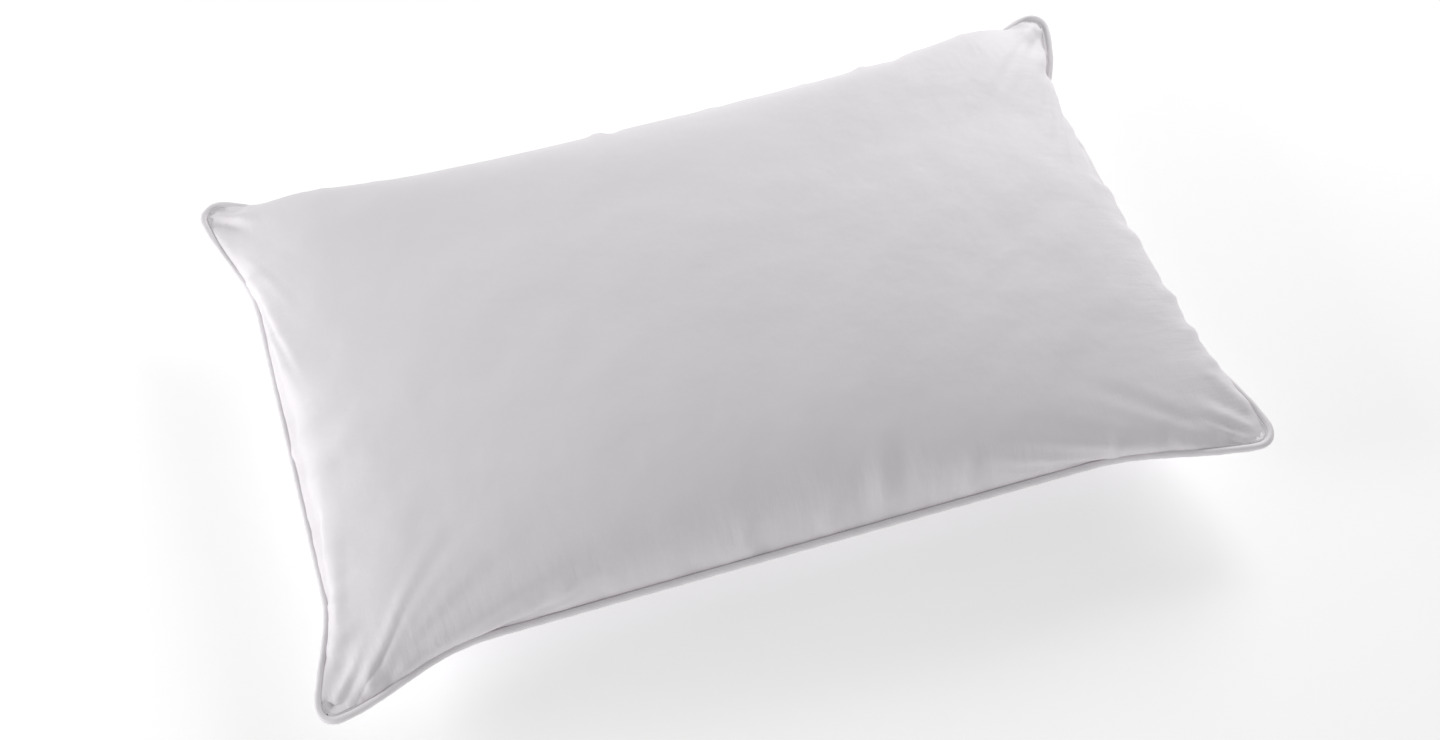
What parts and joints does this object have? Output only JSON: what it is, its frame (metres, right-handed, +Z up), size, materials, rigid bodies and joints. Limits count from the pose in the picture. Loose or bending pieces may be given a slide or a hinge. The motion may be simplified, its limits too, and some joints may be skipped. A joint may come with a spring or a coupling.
{
  "type": "bed pillow",
  "caption": "Rectangular stuffed bed pillow with a crowned top, drawn-in sides, corner ears and a piped seam all round.",
  "frame": {"origin": "middle of the flat resting face, on the floor", "axes": "+X along the length, +Y across the width towards the far long side, +Z up"},
  "size_m": [0.8042, 0.5042, 0.1366],
  "materials": {
    "casing_cotton": "dense downproof cotton, plain weave with a slight sheen",
    "down_filling": "loose white down and small feathers",
    "cord_cotton": "soft twisted cotton cord",
    "piping_tape": "bias-cut cotton tape, plain weave with a slight satin sheen",
    "sewing_thread": "white spun polyester thread"
  },
  "bodies": {
    "root": {"top_panel": "casing_cotton", "bottom_panel": "casing_cotton", "filling": "down_filling", "piping_cord": "cord_cotton", "piping_cover": "piping_tape", "needle_thread": "sewing_thread", "bobbin_thread": "sewing_thread", "closing_stitches": "sewing_thread"}
  },
  "joints": []
}
